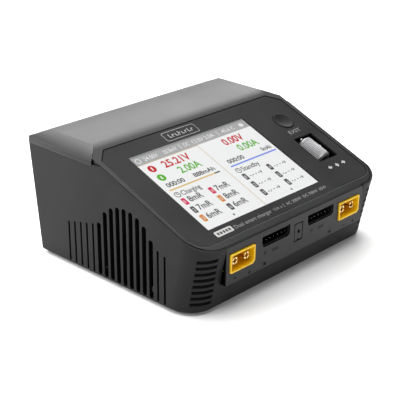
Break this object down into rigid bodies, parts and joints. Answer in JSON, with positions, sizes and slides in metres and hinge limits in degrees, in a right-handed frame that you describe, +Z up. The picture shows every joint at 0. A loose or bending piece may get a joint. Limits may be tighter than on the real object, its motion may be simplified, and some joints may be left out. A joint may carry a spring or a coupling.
{
  "type": "dual-channel balance battery charger",
  "caption": "Desktop balance charger: wedge-shaped dark case, sloped colour display, knurled roller, dished exit button, yellow output sockets and balance headers in front.",
  "frame": {"origin": "middle of the resting plane under the outer box", "axes": "+Z up, front with the output sockets towards -Y, +X to the right as seen from the front"},
  "size_m": [0.125, 0.1038, 0.0574],
  "materials": {
    "case_plastic": "matte, fine spark-eroded texture",
    "cover_plastic": "matte, fine spark-eroded texture",
    "panel_film": "satin",
    "window": "polished",
    "display": "lit display behind glass",
    "button_plastic": "satin",
    "knurled_metal": "turned and knurled",
    "steel": "bright",
    "dark_steel": "blackened",
    "yellow_nylon": "semi-gloss",
    "gold_pins": "gold flashed",
    "tin_pins": "tinned",
    "black_nylon": "satin",
    "board": "solder mask",
    "sink_metal": "extruded",
    "ferrite": "fired",
    "copper": "enamelled",
    "can": "sleeved",
    "flat_cable": "flexible",
    "ceramic": "glazed",
    "bronze": "sintered",
    "rubber": "matte",
    "red_nylon": "semi-gloss"
  },
  "bodies": {
    "case": {"lower_case": "case_plastic", "top_cover": "cover_plastic", "shoulder_rail_left": "cover_plastic", "shoulder_rail_right": "cover_plastic", "control_panel": "panel_film", "display_window": "window", "display_module": "display", "exit_switch": "black_nylon", "select_switch": "black_nylon", "encoder_sensor": "black_nylon", "output_shroud_left": "yellow_nylon", "output_shroud_right": "yellow_nylon", "output_pins_left": "gold_pins", "output_pins_right": "gold_pins", "balance_header_left": "black_nylon", "balance_header_right": "black_nylon", "balance_pins_left": "tin_pins", "balance_pins_right": "tin_pins", "signal_port_cover": "cover_plastic", "signal_header": "black_nylon", "signal_pins": "gold_pins", "front_board": "board", "main_board": "board", "power_board": "board", "ribbon_cable": "flat_cable", "heat_sink_left": "sink_metal", "heat_sink_right": "sink_metal", "output_capacitors": "can", "output_chokes": "ferrite", "transformer_core": "ferrite", "transformer_winding": "copper", "bulk_capacitors": "can", "line_filter_choke": "copper", "input_fuse": "ceramic", "power_transistors": "black_nylon", "buzzer": "black_nylon", "fan_frame": "black_nylon", "fan_bearing": "bronze", "mains_inlet": "black_nylon", "mains_blades": "steel", "dc_input_shroud": "yellow_nylon", "dc_input_pins": "gold_pins", "foot_front_left": "rubber", "foot_front_right": "rubber", "foot_rear_left": "rubber", "foot_rear_right": "rubber", "case_screws": "dark_steel", "board_screws": "steel", "fan_screws": "steel", "inlet_screws": "steel"},
    "exit_button": {"exit_button": "button_plastic", "exit_plunger": "red_nylon"},
    "roller_carrier": {"roller_carrier": "black_nylon", "select_plunger": "red_nylon"},
    "roller": {"roller": "knurled_metal", "roller_axle": "dark_steel", "encoder_ring": "ferrite"},
    "fan_rotor": {"fan_rotor": "black_nylon"}
  },
  "joints": [
    {"name": "exit_press", "type": "slide", "parent": "case", "child": "exit_button", "axis": [0, 0.3688, -0.9295], "range_m": [0, 0.0005], "stiffness_N_per_m": 2500, "springref_m": -0.0002},
    {"name": "roller_press", "type": "slide", "parent": "case", "child": "roller_carrier", "axis": [0, 0.3688, -0.9295], "range_m": [0, 0.0005], "stiffness_N_per_m": 2500, "springref_m": -0.0002},
    {"name": "roller_spin", "type": "hinge", "parent": "roller_carrier", "child": "roller", "pos_m": [0.0464, -0.02268, 0.03762], "axis": [0, 0.9295, 0.3688], "continuous": true},
    {"name": "fan_spin", "type": "hinge", "parent": "case", "child": "fan_rotor", "pos_m": [-0.0588, -0.0089, 0.0207], "axis": [1, 0, 0], "continuous": true}
  ]
}
